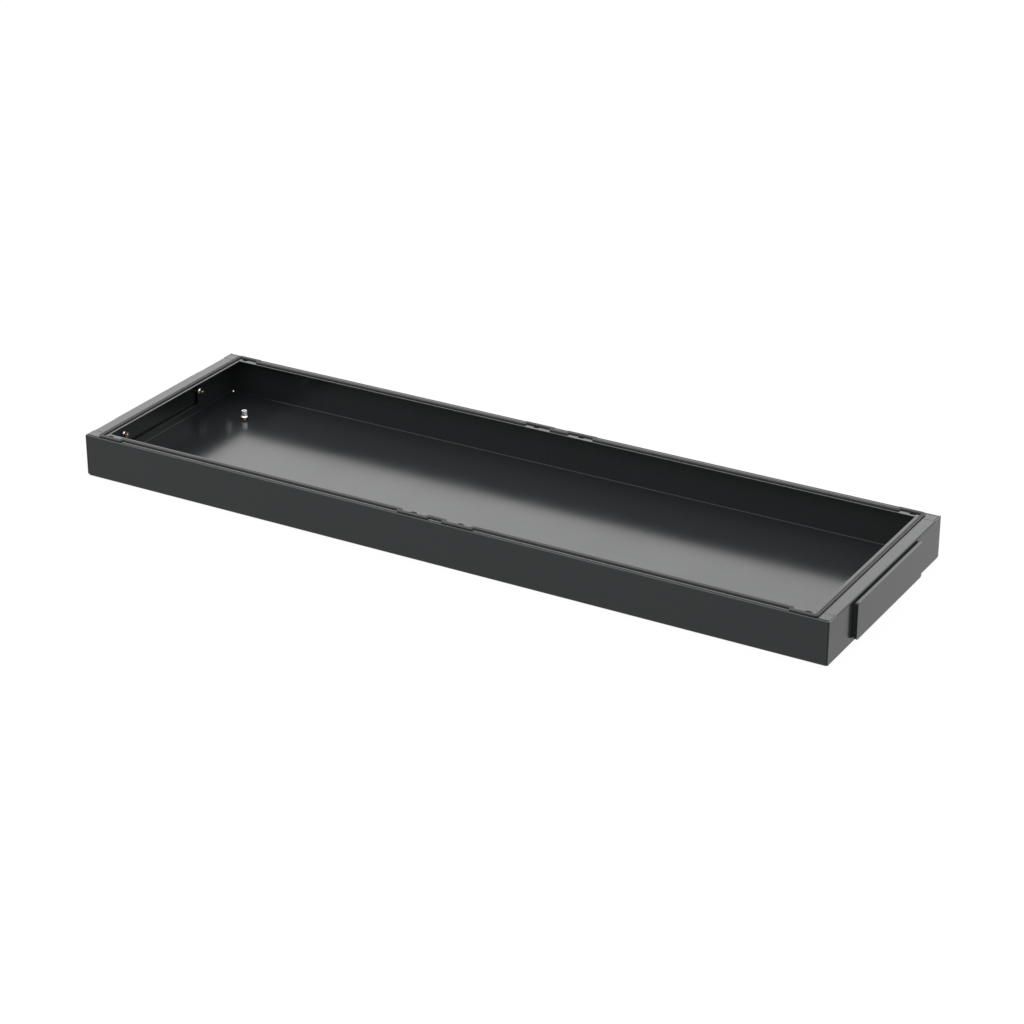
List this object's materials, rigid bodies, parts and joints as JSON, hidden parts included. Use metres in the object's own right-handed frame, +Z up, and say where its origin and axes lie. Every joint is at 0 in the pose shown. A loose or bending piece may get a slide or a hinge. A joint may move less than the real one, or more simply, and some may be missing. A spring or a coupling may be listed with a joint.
{
  "type": "under desk drawer",
  "caption": "Long shallow folded-sheet drawer tray that slides along its length in two slotted desk rails with a foam seal.",
  "frame": {"origin": "middle of the tray's underside with the drawer shut", "axes": "+X is the way the tray pulls out, +Y towards the far long side, +Z up to the desk"},
  "size_m": [1.112, 0.341, 0.0621],
  "materials": {
    "powder_coat": "satin dark grey powder coat",
    "seal_foam": "matt closed-cell foam strip",
    "nylon": "natural nylon",
    "zinc": "bright zinc plate",
    "copper": "copper-plated steel",
    "black_rubber": "matt black rubber"
  },
  "bodies": {
    "desk_rails": {"rail_near": "powder_coat", "rail_far": "powder_coat", "runner_near": "powder_coat", "runner_far": "powder_coat", "rail_seal_near": "seal_foam", "rail_seal_far": "seal_foam", "rail_glides": "nylon", "rail_stops": "zinc", "rail_buffers": "black_rubber"},
    "tray": {"tray_pan": "powder_coat", "tray_glides": "nylon", "tray_stops": "zinc", "end_seal_front": "seal_foam", "end_seal_rear": "seal_foam", "front_plate": "powder_coat", "front_plate_gasket": "black_rubber", "front_plate_studs": "copper", "front_plate_nuts": "zinc", "rear_plate": "powder_coat", "rear_plate_gasket": "black_rubber", "rear_plate_studs": "copper", "rear_plate_nuts": "zinc", "floor_studs": "copper", "floor_flange_nuts": "zinc", "floor_lock_nuts": "zinc"}
  },
  "joints": [
    {"name": "tray_slide", "type": "slide", "parent": "desk_rails", "child": "tray", "axis": [1, 0, 0], "range_m": [0, 0.75]}
  ]
}
